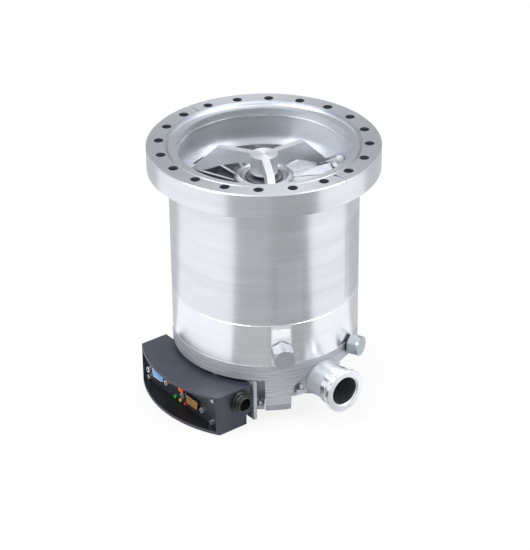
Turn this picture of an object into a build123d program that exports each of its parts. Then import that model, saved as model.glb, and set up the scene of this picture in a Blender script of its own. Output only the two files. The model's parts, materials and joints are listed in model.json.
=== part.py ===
from build123d import *
import math
import os

# Turbomolecular vacuum pump with a DN 160 CF inlet flange, a KF 25 fore-vacuum port and a drive
# controller. Millimetres; the origin is the middle of the inlet sealing face, +Z points out of
# the inlet, +X is the fore-vacuum port and -Y is the controller.

# Housings: outer radius, wall, and the radii that the flange and the base take from them
BODY_R, BODY_WALL = 83.0, 6.0
BODY_BORE_R = BODY_R - BODY_WALL
BAND_TOP, BAND_BOTTOM, JOINT_CHAMFER = -134.6, -174.5, 0.4
BASE_BODY_R = BODY_R - 15.0
BAND_SHELF, BAND_SHELF_R = -162.0, BASE_BODY_R - 4.0
FACET_ANGLE, FACET_WIDTH = -28.0, 17.9

# Inlet flange
FLANGE_T, RECESS_R, RECESS_D = 22.0, BODY_R + 2.5, 3.3
BOLT_R, BOLT_COUNT, BOLT_HOLE_R, BOLT_ANGLE = BODY_R + 7.5, 20, 4.2, 13.5
FLANGE_R = BOLT_R + 10.75
THROAT_R, THROAT_D = BODY_BORE_R - 2.0, 9.0
LEAK_GROOVES = (4.5, 184.5)

# Base casting and bottom cover
BASE_RING_BOTTOM, BASE_DEPTH, COVER_DEPTH = -189.5, 28.5, 14.0
BASE_BOTTOM = BASE_RING_BOTTOM - BASE_DEPTH
STAND_Z, COVER_R = BASE_BOTTOM - COVER_DEPTH, 40.0
LEG_ANGLES, LEG_HALF = (-30.0, 90.0, 210.0), 8.0
LEG_FLOOR, LEG_STEP = BASE_BOTTOM - 3.0, BASE_BOTTOM + 3.0
ARCH_ANGLE, ARCH_R = 11.0, 14.2
CHANNEL_FLOOR, COLUMN_R, COLUMN_TOP, MOTOR_R = -186.0, 38.0, -142.0, 33.5
MOTOR_FLOOR, INNER_R = BASE_BOTTOM + 28.0, BASE_BODY_R - 8.0

# Seals, screws and plugs
CORD_R, SEAL_CLEARANCE = 0.98, 0.25
HOUSING_SEAL_R, BASE_SEAL_R, COVER_SEAL_R = (BODY_R + BODY_BORE_R) / 2, BAND_SHELF_R + 5.0, 26.0
SCREW_R, SCREW_HEAD_R, SCREW_HEAD_H, SCREW_ANGLE = 2.0, 3.5, 3.7, 18.3
SCREW_PCR, HEAD_CLEARANCE, SOCKET = BODY_R - 6.5, 0.3, 1.8
COVER_SCREW_R, COVER_SCREW_PCR, COVER_SCREW_HEAD, COVER_SEAT = 2.0, 33.0, 3.5, 4.5
EARTH_ANGLE, EARTH_R, EARTH_SHANK_R = -41.4, BODY_R - 6.5, 1.5
EARTH_TAB_TOP, EARTH_TAB_BOTTOM = BASE_BOTTOM + 1.5, BASE_BOTTOM - 2.0
VENT_Z, VENT_SHANK_R, VENT_FACE_R = -160.0, 5.0, BODY_R + 16.0
PURGE_ANGLE, PURGE_Z, PURGE_SHANK_R = 24.5, -178.6, 3.8
PURGE_SEAT_R, PURGE_FACE_R = BODY_R + 1.0, BODY_R + 12.5
PLUG_ACROSS_FLATS, PLUG_DISC_R = 17.0, 8.8

# Fore-vacuum port
PORT_Z, PORT_BORE_R, PORT_FLANGE_R = BASE_BOTTOM + 21.0, 13.0, 20.0
NECK_R, NECK_X, COLLAR_R, RING_R = 16.5, BODY_R + 16.0, 15.0, 17.8
PORT_X = NECK_X + 14.0

# Rotor and bearing star
STAR_HUB_R, STAR_TOP, STAR_ARM_T, STAR_ANGLES = 12.0, -11.3, 6.5, (90.0, 210.0, 330.0)
LEDGE_R, LEDGE_TOP = BODY_BORE_R - 6.5, -36.0
PIN_ANGLE, PIN_R = 77.0, 3.9
HUB_R, TIP_R, ROTOR_TOP = 26.0, LEDGE_R - 1.0, -30.0
SHAFT_R, SHAFT_TOP = 10.0, -50.0
# each rotor stage: top and bottom of its hub, top and bottom of its blades, blades, blade angle
ROTOR_STAGES = (
    (-30.0, -54.0, -39.5, -52.5, 18, 38.0),
    (-54.0, -76.0, -64.0, -74.0, 24, 34.0),
    (-76.0, -94.0, -85.0, -92.0, 28, 30.0),
    (-94.0, -110.0, -102.0, -108.0, 30, 27.0),
    (-110.0, -124.0, -117.0, -122.0, 32, 24.0),
)
# each stator disc: top, bottom, blades, blade angle
STATOR_DISCS = (
    (-54.0, -62.0, 24, -36.0),
    (-76.0, -83.0, 28, -32.0),
    (-94.0, -100.0, 30, -28.0),
    (-110.0, -115.0, 32, -25.0),
)
SPACERS = ((-41.0, -54.0), (-62.0, -76.0), (-83.0, -94.0), (-100.0, -110.0), (-115.0, -124.0))
DRUM_R, DRUM_WALL, DRUM_TOP, DRUM_BOTTOM = BAND_SHELF_R - 4.0, 3.0, -124.0, -160.0
DRUM_GAP, DRAG_GROOVE_D = 0.8, 5.0

# Ball bearing, 10 x 26 x 8
BEARING_Z, BEARING_W, BEARING_R, BEARING_BORE_R = BASE_BOTTOM + 9.0, 8.0, 13.0, 5.0
BALL_R, BALL_PITCH_R, BALL_COUNT, RUNNING_GAP = 2.35, 9.0, 8, 0.03

# Drive controller
CTRL_W, CTRL_FRONT_R, CTRL_INNER_R = BASE_BODY_R - 10.0, BASE_BODY_R + 44.0, BASE_BODY_R + 3.0
CTRL_TOP, CTRL_BOTTOM, CTRL_WALL = STAND_Z + 38.5, STAND_Z, 3.0
CTRL_BACK_Y, CTRL_CORNER_Y = 8.0 - BASE_BODY_R, -26.0 - BASE_BODY_R
CTRL_LEFT_BACK_Y = CTRL_BACK_Y - 9.0
CTRL_REACH = CTRL_FRONT_R + 18.0
BRACKET_W, BRACKET_T, BRACKET_CLEARANCE = CTRL_W + 2.5, 3.5, 5.5
SOCKET_Y, SOCKET_Z, SOCKET_R, SOCKET_OUT = CTRL_CORNER_Y + 21.0, STAND_Z + 26.0, 10.5, 10.0
PANEL_Y, PANEL_T, DSUB_Z, LED_Z = CTRL_CORNER_Y + 0.5, 2.0, STAND_Z + 13.5, STAND_Z + 5.4
# panel fittings: (x, z) of their middles
BLUE, BROWN, ORANGE = (-36.0, DSUB_Z), (17.0, DSUB_Z), (-3.0, STAND_Z + 21.2)
JACKS = ((-49.6, DSUB_Z), (-22.4, DSUB_Z), (2.3, DSUB_Z), (31.7, DSUB_Z))
LEDS = {"led_green": (-10.2, LED_Z), "led_yellow": (-2.3, LED_Z), "led_red": (5.2, LED_Z)}
PANEL_SCREWS = ((-51.0, STAND_Z + 6.0), (44.2, STAND_Z + 6.0), (46.7, STAND_Z + 30.5))

parts = {}


def tube(outer, inner, top, bottom):
    """Ring round the pump axis between two heights."""
    ring = Pos(0, 0, (top + bottom) / 2) * Cylinder(outer, top - bottom)
    if inner > 0:
        ring -= Pos(0, 0, (top + bottom) / 2) * Cylinder(inner, top - bottom + 2)
    return ring


def turned(points):
    """Solid of revolution round the pump axis from a closed (radius, height) profile."""
    return revolve(make_face(Plane.XZ * Polyline(*points, close=True)), Axis.Z)


def radial(angle, radius, z, solid):
    """Puts a solid built along +X at the given angle, radius and height."""
    return Rot(0, 0, angle) * Pos(radius, 0, z) * solid


def along_x(radius, x0, x1):
    """Cylinder along X from x0 to x1."""
    return Pos((x0 + x1) / 2, 0, 0) * Rot(0, 90, 0) * Cylinder(radius, x1 - x0)


def along_y(radius, y0, y1):
    return Pos(0, (y0 + y1) / 2, 0) * Rot(90, 0, 0) * Cylinder(radius, abs(y1 - y0))


def block(x0, x1, y0, y1, z0, z1):
    """Box from its six faces."""
    return Pos((x0 + x1) / 2, (y0 + y1) / 2, (z0 + z1) / 2) * Box(x1 - x0, y1 - y0, z1 - z0)


def sector(outer, inner, top, bottom, angle, half):
    """Ring sector, twice half wide, centred on an angle."""
    reach = outer * 1.5
    wedge = make_face(Polyline(
        (0, 0),
        (reach * math.cos(math.radians(half)), -reach * math.sin(math.radians(half))),
        (reach * math.cos(math.radians(half)), reach * math.sin(math.radians(half))),
        close=True))
    cut = Pos(0, 0, bottom) * extrude(wedge, top - bottom)
    return Rot(0, 0, angle) * (tube(outer, inner, top, bottom) & cut)


def seal_ring(radius, z):
    """Square-section elastomer ring, half in each of the two faces that meet at z."""
    return tube(radius + CORD_R, radius - CORD_R, z + CORD_R, z - CORD_R)


def groove(radius, z):
    """Room for a seal ring, half in each of the two faces that meet at z."""
    return tube(radius + CORD_R + SEAL_CLEARANCE, radius - CORD_R - SEAL_CLEARANCE,
                z + CORD_R, z - CORD_R)


# ---------------------------------------------------------------- housings

def make_inlet_housing():
    flange_edge = 0.8
    body = turned((
        (THROAT_R, -RECESS_D + 0.7), (RECESS_R - 4.1, -RECESS_D + 0.7), (RECESS_R - 3.1, -1.4),
        (RECESS_R - 1.5, -RECESS_D),
        (RECESS_R, -RECESS_D), (RECESS_R, 0), (FLANGE_R - flange_edge, 0),
        (FLANGE_R, -flange_edge), (FLANGE_R, -FLANGE_T + flange_edge),
        (FLANGE_R - flange_edge, -FLANGE_T), (BODY_R, -FLANGE_T),
        (BODY_R, BAND_TOP + JOINT_CHAMFER), (BODY_R - JOINT_CHAMFER, BAND_TOP),
        (BODY_BORE_R, BAND_TOP), (BODY_BORE_R, -THROAT_D), (THROAT_R, -THROAT_D)))
    for k in range(BOLT_COUNT):
        turn = Rot(0, 0, BOLT_ANGLE + 360 / BOLT_COUNT * k)
        body -= turn * Pos(BOLT_R, 0, -FLANGE_T / 2) * Cylinder(BOLT_HOLE_R, FLANGE_T + 2)
    for angle in LEAK_GROOVES:
        body -= Rot(0, 0, angle) * block(RECESS_R + 1.4, FLANGE_R + 1, -1, 1, -1.2, 1)
    return body - groove(HOUSING_SEAL_R, BAND_TOP)


def facet_plane():
    return math.sqrt(BODY_R ** 2 - (FACET_WIDTH / 2) ** 2)


def make_lower_housing():
    body = turned((
        (BODY_BORE_R, BAND_TOP), (BODY_R - JOINT_CHAMFER, BAND_TOP),
        (BODY_R, BAND_TOP - JOINT_CHAMFER), (BODY_R, BAND_BOTTOM + JOINT_CHAMFER),
        (BODY_R - JOINT_CHAMFER, BAND_BOTTOM), (BAND_SHELF_R, BAND_BOTTOM),
        (BAND_SHELF_R, BAND_SHELF), (BODY_BORE_R, BAND_SHELF)))
    cut = block(facet_plane(), BODY_R + 4, -FACET_WIDTH, FACET_WIDTH, BAND_BOTTOM - 1, BAND_TOP + 1)
    body -= Rot(0, 0, FACET_ANGLE) * cut
    body -= radial(FACET_ANGLE, 0, VENT_Z, along_x(VENT_SHANK_R, BODY_BORE_R - 7, BODY_R + 7))
    body -= groove(HOUSING_SEAL_R, BAND_TOP) + groove(BASE_SEAL_R, BAND_BOTTOM)
    for angle in housing_screw_angles():
        hole = Cylinder(SCREW_R, 20)
        body -= Rot(0, 0, angle) * Pos(SCREW_PCR, 0, BAND_BOTTOM - 2) * hole
    return body


# ---------------------------------------------------------------- base casting

def housing_screw_angles():
    """Every 30 degrees, apart from the place that the neck of the port takes."""
    turns = [SCREW_ANGLE + 30 * k for k in range(-6, 6)]
    return [a for a in turns if SCREW_PCR * abs(math.sin(math.radians(a))) > NECK_R or abs(a) > 90]


def cover_screw_angles():
    return [30 + 60 * k for k in range(6)]


def make_base_casting():
    bearing_top = BEARING_Z + BEARING_W / 2
    body = turned((
        (BEARING_R, BASE_BOTTOM), (BASE_BODY_R, BASE_BOTTOM), (BASE_BODY_R, BASE_RING_BOTTOM - 6),
        (BASE_BODY_R + 2, BASE_RING_BOTTOM - 2), (BASE_BODY_R + 5, BASE_RING_BOTTOM),
        (BODY_R, BASE_RING_BOTTOM), (BODY_R, BAND_BOTTOM - JOINT_CHAMFER),
        (BODY_R - JOINT_CHAMFER, BAND_BOTTOM), (BAND_SHELF_R, BAND_BOTTOM),
        (BAND_SHELF_R, CHANNEL_FLOOR), (COLUMN_R, CHANNEL_FLOOR), (COLUMN_R, COLUMN_TOP),
        (MOTOR_R, COLUMN_TOP), (MOTOR_R, MOTOR_FLOOR), (BEARING_R - 2, MOTOR_FLOOR),
        (BEARING_R - 2, bearing_top), (BEARING_R, bearing_top)))
    for angle in LEG_ANGLES:
        body += sector(BODY_R, INNER_R, BASE_RING_BOTTOM, LEG_STEP, angle, LEG_HALF)
        body += sector(BODY_R - 1, INNER_R, LEG_STEP, LEG_FLOOR, angle, LEG_HALF)
        # the ring runs into the leg in a hollow arch on one side
        arch_bottom = BASE_RING_BOTTOM - ARCH_R
        web = sector(BODY_R, INNER_R, BASE_RING_BOTTOM, arch_bottom,
                     angle + LEG_HALF + ARCH_ANGLE / 2, ARCH_ANGLE / 2)
        hollow = along_x(ARCH_R, INNER_R - 10, BODY_R + 17)
        body += web - radial(angle + LEG_HALF + ARCH_ANGLE, 0, arch_bottom, hollow)
    body += sector(BODY_R - 1.5, INNER_R, EARTH_TAB_TOP, EARTH_TAB_BOTTOM, EARTH_ANGLE + 0.5, 2.4)
    # cast neck of the fore-vacuum port, flaring into the body
    neck = revolve(make_face(Plane.XZ * Polyline(
        (INNER_R - 5, 0), (NECK_X, 0), (NECK_X, NECK_R), (BODY_R + 5, NECK_R),
        (BODY_R - 2, NECK_R + 1), (BODY_R - 8, NECK_R + 3), (BODY_R - 12, NECK_R + 5),
        (INNER_R - 5, NECK_R + 5), close=True)), Axis.X)
    body += Pos(0, 0, PORT_Z) * neck
    body -= Pos(0, 0, PORT_Z) * along_x(PORT_BORE_R, BAND_SHELF_R - 18, PORT_X + 7)
    body -= block(BAND_SHELF_R - 18, BAND_SHELF_R - 1, -10, 10, PORT_Z, BAND_BOTTOM + 1)
    body -= groove(BASE_SEAL_R, BAND_BOTTOM) + groove(COVER_SEAL_R, BASE_BOTTOM)
    body -= radial(PURGE_ANGLE, 0, PURGE_Z, along_x(PURGE_SHANK_R, BODY_R - 11, BODY_R + 7))
    body -= radial(EARTH_ANGLE, EARTH_R, 0,
                   tube(EARTH_SHANK_R, 0, EARTH_TAB_TOP + 1, EARTH_TAB_BOTTOM - 1))
    for angle in housing_screw_angles():
        body -= Rot(0, 0, angle) * Pos(SCREW_PCR, 0, BASE_RING_BOTTOM + 7.5) * Cylinder(SCREW_R, 20)
        seat = tube(SCREW_HEAD_R + HEAD_CLEARANCE, 0, BASE_RING_BOTTOM,
                    BASE_RING_BOTTOM - SCREW_HEAD_H - 4)
        body -= Rot(0, 0, angle) * Pos(SCREW_PCR, 0, 0) * seat
    for angle in cover_screw_angles():
        hole = Cylinder(COVER_SCREW_R, 10)
        body -= Rot(0, 0, angle) * Pos(COVER_SCREW_PCR, 0, BASE_BOTTOM + 3) * hole
    return body


def make_bottom_cover():
    body = tube(COVER_R, 0, BASE_BOTTOM, STAND_Z)
    body -= tube(BEARING_R, 0, BASE_BOTTOM + 1, BASE_BOTTOM - 8)
    body -= groove(COVER_SEAL_R, BASE_BOTTOM)
    for angle in cover_screw_angles():
        at = Rot(0, 0, angle) * Pos(COVER_SCREW_PCR, 0, 0)
        body -= at * tube(COVER_SCREW_R, 0, BASE_BOTTOM + 1, STAND_Z - 1)
        body -= at * tube(COVER_SCREW_HEAD + HEAD_CLEARANCE, 0, STAND_Z + COVER_SEAT, STAND_Z - 1)
    return body


def cap_screw(head_r, head_h, shank_r, shank_l, socket):
    """Socket cap screw, shank up from z = 0 and head below it."""
    body = tube(shank_r, 0, shank_l, 0) + tube(head_r, 0, 0, -head_h)
    hexagon = extrude(RegularPolygon(socket, 6), head_h * 0.6)
    return body - Pos(0, 0, -head_h) * hexagon


def make_housing_screws():
    one = cap_screw(SCREW_HEAD_R, SCREW_HEAD_H, SCREW_R, 20, SOCKET)
    return Compound([Rot(0, 0, a) * Pos(SCREW_PCR, 0, BASE_RING_BOTTOM) * one
                     for a in housing_screw_angles()])


def make_cover_screws():
    one = cap_screw(COVER_SCREW_HEAD, SCREW_HEAD_H, COVER_SCREW_R, 16, SOCKET)
    return Compound([Rot(0, 0, a) * Pos(COVER_SCREW_PCR, 0, STAND_Z + COVER_SEAT) * one
                     for a in cover_screw_angles()])


def make_port():
    """KF 25 flange and its machined collar on the end of the cast neck."""
    edge = 0.6
    profile = Polyline(
        (NECK_X, PORT_BORE_R), (PORT_X - 1, PORT_BORE_R), (PORT_X, PORT_BORE_R),
        (PORT_X, PORT_FLANGE_R - edge), (PORT_X - edge, PORT_FLANGE_R),
        (PORT_X - 2.6, PORT_FLANGE_R), (PORT_X - 4.0, COLLAR_R), (PORT_X - 8, COLLAR_R),
        (PORT_X - 8, RING_R - edge), (PORT_X - 8 - edge, RING_R), (NECK_X + edge, RING_R),
        (NECK_X, RING_R - edge), close=True)
    return Pos(0, 0, PORT_Z) * revolve(make_face(Plane.XZ * profile), Axis.X)


def hex_plug(seat_r, face_r, shank_r, depth):
    """Hexagon plug along +X, from its shank in the wall to its round front disc."""
    across = RegularPolygon(PLUG_ACROSS_FLATS / math.sqrt(3), 6)
    hexagon = Rot(0, 90, 0) * extrude(across, face_r - seat_r - 4.2)
    return (along_x(shank_r, seat_r - depth, seat_r + 1)
            + Pos(seat_r + 1.2, 0, 0) * hexagon
            + along_x(PLUG_DISC_R, face_r - 3.2, face_r) + along_x(5, seat_r, face_r))


def washer(seat_r, outer, inner):
    return along_x(outer, seat_r, seat_r + 1.2) - along_x(inner, seat_r - 1, seat_r + 3)


def make_purge_seal():
    """Ring that fills the gap between the round wall and the flat back of the purge plug."""
    ring = along_x(7.4, BODY_R - 3, PURGE_SEAT_R + 1.2) - along_x(5.0, BODY_R - 13, BODY_R + 7)
    outside = tube(BODY_R + 8, BODY_R, BAND_SHELF, BASE_RING_BOTTOM - 10)
    return radial(PURGE_ANGLE, 0, PURGE_Z, ring) & outside


# ---------------------------------------------------------------- bearing star and stators

def make_bearing_star():
    web = (
        (6, STAR_TOP), (43, STAR_TOP), (LEDGE_R - 4.0, LEDGE_TOP + 1.2),
        (BODY_BORE_R - 0.1, LEDGE_TOP + 1.2), (BODY_BORE_R - 0.1, LEDGE_TOP - 1.0),
        (LEDGE_R - 7.5, LEDGE_TOP - 1.0),
        (52, -34.0), (43, -29.5), (32, -25.5), (20, -22.0), (6, -22.0))
    body = tube(STAR_HUB_R, 0, STAR_TOP, -28) + tube(5, 0, -28, -47)
    body += tube(BODY_BORE_R, LEDGE_R, LEDGE_TOP, -41)
    for angle in STAR_ANGLES:
        face = make_face(Plane.XZ * Polyline(*web, close=True))
        body += Rot(0, 0, angle) * extrude(face, STAR_ARM_T / 2, both=True)
    return body


def make_star_pin():
    """Round-headed pin that stands on the ledge against the housing's wall."""
    dome = LEDGE_TOP + PIN_R
    pin = tube(PIN_R - 1.4, 0, dome, LEDGE_TOP)
    return pin + Pos(0, 0, dome) * Sphere(PIN_R)


def blade_row(top, bottom, count, angle, root, tip, thickness):
    """Flat blades inclined to the disc plane, cut to a root and a tip radius."""
    height = top - bottom
    length = height / math.sin(math.radians(abs(angle))) + 6
    plate = Pos((root + tip) / 2, 0, (top + bottom) / 2) * Rot(angle, 0, 0) * Box(
        tip - root + 12, length, thickness)
    plate &= tube(tip, root, top, bottom)
    plate = max(plate.solids(), key=lambda s: s.volume)
    return [Rot(0, 0, 360 / count * k) * plate for k in range(count)]


def make_stator_disc(top, bottom, count, angle):
    body = tube(BODY_BORE_R, LEDGE_R, top, bottom) + tube(HUB_R + 4, HUB_R + 1.5, top, bottom)
    blades = blade_row(top - 0.2, bottom + 0.2, count, angle, HUB_R + 2.6, LEDGE_R + 2.0, 1.0)
    return body.fuse(*blades)


def make_drag_stator():
    body = tube(BODY_BORE_R, DRUM_R + DRUM_GAP, DRUM_TOP, BAND_SHELF)
    for k in range(5):
        z = -130.0 - 6.5 * k
        body -= tube(DRUM_R + DRAG_GROOVE_D, DRUM_R, z, z - 4)
    return body


# ---------------------------------------------------------------- rotor

def make_rotor_stage(n):
    top, bottom, blade_top, blade_bottom, count, angle = ROTOR_STAGES[n]
    if n == 0:
        # crowned rim, shoulder and recess for the balancing ring, seat of the magnet ring
        hub = turned((
            (SHAFT_R, bottom), (HUB_R, bottom), (HUB_R, top - 4), (HUB_R - 0.7, top - 1.6),
            (HUB_R - 2.4, top - 0.2), (HUB_R - 4, top), (HUB_R - 5.2, top - 0.6),
            (HUB_R - 6.4, top - 2.4),
            (16.6, top - 2.8), (16.6, top - 6), (13, top - 6), (13, SHAFT_TOP),
            (SHAFT_R, SHAFT_TOP)))
    else:
        hub = tube(HUB_R, SHAFT_R, top, bottom)
    return hub.fuse(*blade_row(blade_top, blade_bottom, count, angle, HUB_R - 1.8, TIP_R, 1.5))


def make_balance_ring():
    body = tube(16, 13, ROTOR_TOP - 1, ROTOR_TOP - 6)
    for k in range(12):
        body -= Rot(0, 0, 15 + 30 * k) * Pos(14.5, 0, ROTOR_TOP - 1) * Cylinder(0.7, 5)
    return body


def make_drag_rotor():
    return turned((
        (SHAFT_R, DRUM_TOP), (DRUM_R, DRUM_TOP), (DRUM_R, DRUM_BOTTOM),
        (DRUM_R - DRUM_WALL, DRUM_BOTTOM), (DRUM_R - DRUM_WALL, DRUM_TOP - 5),
        (HUB_R, DRUM_TOP - 5), (HUB_R - 6, DRUM_TOP - 14), (SHAFT_R, DRUM_TOP - 14)))


def make_shaft():
    top_of_bearing = BEARING_Z + BEARING_W / 2
    shoulder, end = top_of_bearing + 3.0, BASE_BOTTOM - 4.0
    return turned((
        (0, SHAFT_TOP), (SHAFT_R, SHAFT_TOP), (SHAFT_R, shoulder), (7, shoulder),
        (7, top_of_bearing), (BEARING_BORE_R, top_of_bearing), (BEARING_BORE_R, end), (0, end)))


# ---------------------------------------------------------------- ball bearing

def race(outer, inner):
    ring = tube(outer, inner, BEARING_Z + BEARING_W / 2, BEARING_Z - BEARING_W / 2)
    return ring - Pos(0, 0, BEARING_Z) * Torus(BALL_PITCH_R, BALL_R + RUNNING_GAP)


def ball_places():
    return [Rot(0, 0, 360 / BALL_COUNT * k) * Pos(BALL_PITCH_R, 0, BEARING_Z)
            for k in range(BALL_COUNT)]


def make_cage():
    body = tube(BALL_PITCH_R + 0.8, BALL_PITCH_R - 0.8, BEARING_Z + 3.2, BEARING_Z - 3.2)
    for place in ball_places():
        body -= place * Rot(0, 90, 0) * Cylinder(BALL_R + RUNNING_GAP, 6)
    return body


# ---------------------------------------------------------------- motor

def make_motor_stator():
    body = tube(MOTOR_R, 17, -152, -188)
    for k in range(12):
        slot = Pos(24.0, 0, -170) * Box(8, 4.4, 40)
        body -= Rot(0, 0, 15 + 30 * k) * slot
    return body


def make_windings():
    coils = []
    for k in range(12):
        coils.append(Rot(0, 0, 15 + 30 * k) * Pos(24.0, 0, -170) * Box(7.4, 3.8, 36))
    ends = tube(27.7, 20.3, -188, -189.9) + tube(27.7, 20.3, -148, -152)
    return ends.fuse(*coils)


# ---------------------------------------------------------------- controller

def controller_plan(grow=0.0, front=None):
    """Outline of the controller seen from above, shrunk by a wall thickness where asked."""
    w, back = CTRL_W - grow, CTRL_BACK_Y - grow
    body = block(-w, w, front or -CTRL_REACH, back, 0, 1)
    if front is None:
        body &= tube(CTRL_FRONT_R, 0, 2, -1) + block(-w, w, CTRL_CORNER_Y, back, 0, 1)
        body &= tube(math.hypot(CTRL_W, -CTRL_CORNER_Y) + 6, 0, 2, -1)
    body -= tube(CTRL_INNER_R + grow, 0, 2, -1)
    return body


def slab(plan, z0, z1):
    """Stretches a one-millimetre plan to a slab between two heights."""
    face = plan.faces().sort_by(Axis.Z)[0]
    return Pos(0, 0, z0) * extrude(face, amount=z1 - z0, dir=(0, 0, 1))


def make_controller_housing():
    floor, roof, side = CTRL_BOTTOM + CTRL_WALL, CTRL_TOP - CTRL_WALL, CTRL_W - CTRL_WALL
    body = slab(controller_plan(), CTRL_BOTTOM, CTRL_TOP)
    room = slab(controller_plan(CTRL_WALL, PANEL_Y), floor, roof)
    body = body - room - block(-side, side, -CTRL_REACH, PANEL_Y + 1, floor, roof)
    body -= Pos(0, SOCKET_Y, SOCKET_Z) * along_x(SOCKET_R - 1.5, CTRL_W - 8, CTRL_W + 12)
    body -= block(CTRL_W - 8, CTRL_W + 2, CTRL_BACK_Y - 6, CTRL_BACK_Y + 1,
                  CTRL_BOTTOM - 1, CTRL_BOTTOM + 10)
    # the left end stops short behind
    body -= block(-CTRL_W - 2, 18 - CTRL_W, CTRL_LEFT_BACK_Y, CTRL_BACK_Y + 1,
                  CTRL_BOTTOM - 1, CTRL_TOP + 1)
    body += block(-side, 18 - CTRL_W, CTRL_LEFT_BACK_Y - CTRL_WALL, CTRL_LEFT_BACK_Y,
                  CTRL_BOTTOM + 1, CTRL_TOP - 1)
    return body


def make_earth_screw():
    """Cap screw pointing down through the tab beside the controller."""
    head = tube(2.9, 0, EARTH_TAB_TOP + 3, EARTH_TAB_TOP)
    head -= Pos(0, 0, EARTH_TAB_TOP + 1.4) * extrude(RegularPolygon(1.5, 6), 3)
    screw = head + tube(EARTH_SHANK_R, 0, EARTH_TAB_TOP, EARTH_TAB_BOTTOM)
    return radial(EARTH_ANGLE, EARTH_R, 0, screw)


def dsub_outline(width, height, slope=1.2):
    w, h = width / 2, height / 2
    return make_face(Polyline((-w, h), (w, h), (w - slope, -h), (-w + slope, -h), close=True))


def front_piece(profile, y0, y1, x, z):
    """Extrudes an (x, z) profile towards -Y from y0 to y1."""
    return Pos(x, y0, z) * Rot(90, 0, 0) * extrude(profile, y0 - y1)


def make_panel():
    side, front, back = CTRL_W - CTRL_WALL, PANEL_Y - 6, PANEL_Y + 6
    body = block(-side, side, PANEL_Y, PANEL_Y + PANEL_T,
                 CTRL_BOTTOM + CTRL_WALL, CTRL_TOP - CTRL_WALL)
    for (x, z), half_w, half_h in ((BLUE, 8.6, 4.2), (BROWN, 9.9, 5.2), (ORANGE, 5.2, 4.6)):
        body -= block(x - half_w, x + half_w, front, back, z - half_h, z + half_h)
    for x, z in JACKS + PANEL_SCREWS + tuple(LEDS.values()):
        body -= Pos(x, 0, z) * along_y(1.5, front, back)
    return body


def make_dsub(place, width, height, depth):
    """Connector: thin shell standing out of the panel round an insert block."""
    x, z = place
    shell = front_piece(dsub_outline(width, height), PANEL_Y + 4, PANEL_Y - depth, x, z)
    inside = front_piece(dsub_outline(width - 1.6, height - 1.6), PANEL_Y - depth + 4,
                         PANEL_Y - depth - 1, x, z)
    return shell - inside


def make_jackscrews():
    out = []
    for x, z in JACKS:
        nut = front_piece(RegularPolygon(2.9, 6), PANEL_Y, PANEL_Y - 5, x, z)
        nut += Pos(x, 0, z) * along_y(1.5, PANEL_Y - 1, PANEL_Y + 4)
        out.append(nut - Pos(x, 0, z) * along_y(1.3, PANEL_Y - 6, PANEL_Y - 2))
    return Compound(out)


def make_panel_screws():
    out = []
    for x, z in PANEL_SCREWS:
        head = Pos(x, 0, z) * (along_y(2.6, PANEL_Y - 1.6, PANEL_Y) + along_y(1.5, PANEL_Y, PANEL_Y + 2))
        out.append(head - block(x - 3, x + 3, PANEL_Y - 2, PANEL_Y - 0.8, z - 0.4, z + 0.4))
    return Compound(out)


def make_orange_socket():
    x, z = ORANGE
    body = block(x - 5.2, x + 5.2, PANEL_Y - 4, PANEL_Y + 5, z - 4.6, z + 4.6)
    return body - block(x - 3.6, x + 3.6, PANEL_Y - 5, PANEL_Y - 1, z - 3, z + 3)


def make_orange_insert():
    x, z = ORANGE
    return block(x - 3.6, x + 3.6, PANEL_Y - 3, PANEL_Y - 1, z - 3, z + 3)


def make_power_connector():
    body = along_x(SOCKET_R, CTRL_W, CTRL_W + SOCKET_OUT)
    body += along_x(SOCKET_R - 1.5, CTRL_W - 5, CTRL_W)
    body -= along_x(7.8, CTRL_W + 1, CTRL_W + SOCKET_OUT + 1)
    body += along_x(4.6, CTRL_W, CTRL_W + SOCKET_OUT - 3)
    return Pos(0, SOCKET_Y, SOCKET_Z) * body


def make_brackets():
    above = BASE_RING_BOTTOM + 9.5
    body = block(-BRACKET_W, BRACKET_W, CTRL_BACK_Y, CTRL_BACK_Y + BRACKET_T,
                 STAND_Z + 3, BASE_RING_BOTTOM - 0.5)
    body -= tube(BASE_BODY_R + BRACKET_CLEARANCE, 0, above, STAND_Z - 8)
    for angle in housing_screw_angles():
        seat = tube(SCREW_HEAD_R + HEAD_CLEARANCE, 0, above, BASE_RING_BOTTOM - SCREW_HEAD_H - 0.5)
        body -= Rot(0, 0, angle) * Pos(SCREW_PCR, 0, 0) * seat
    arch_middle = LEG_ANGLES[2] + LEG_HALF + ARCH_ANGLE / 2
    body -= sector(BODY_R + 1, INNER_R, above, BASE_RING_BOTTOM - 8, arch_middle,
                   ARCH_ANGLE / 2 + 0.5)
    return body


def make_circuit_board():
    back, low = PANEL_Y + 17.5, STAND_Z + 6.0
    top = low + 1.6
    board = block(8 - CTRL_W, CTRL_W - 8, back - 14, back, low, top)
    for x0, x1, y0, y1, h in ((-44, -30, 12, 3, 6), (-20, -8, 11, 4, 2.5),
                              (0, 8, 12, 4, 5), (24, 40, 11, 3, 3.5)):
        board += block(x0, x1, back - y0, back - y1, top, top + h)
    return board


# ---------------------------------------------------------------- assembly

parts["inlet_housing"] = make_inlet_housing()
parts["lower_housing"] = make_lower_housing()
parts["base_casting"] = make_base_casting()
parts["bottom_cover"] = make_bottom_cover()
parts["housing_screws"] = make_housing_screws()
parts["cover_screws"] = make_cover_screws()
parts["housing_seal"] = seal_ring(HOUSING_SEAL_R, BAND_TOP)
parts["base_seal"] = seal_ring(BASE_SEAL_R, BAND_BOTTOM)
parts["cover_seal"] = seal_ring(COVER_SEAL_R, BASE_BOTTOM)
parts["fore_vacuum_port"] = make_port()

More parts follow.
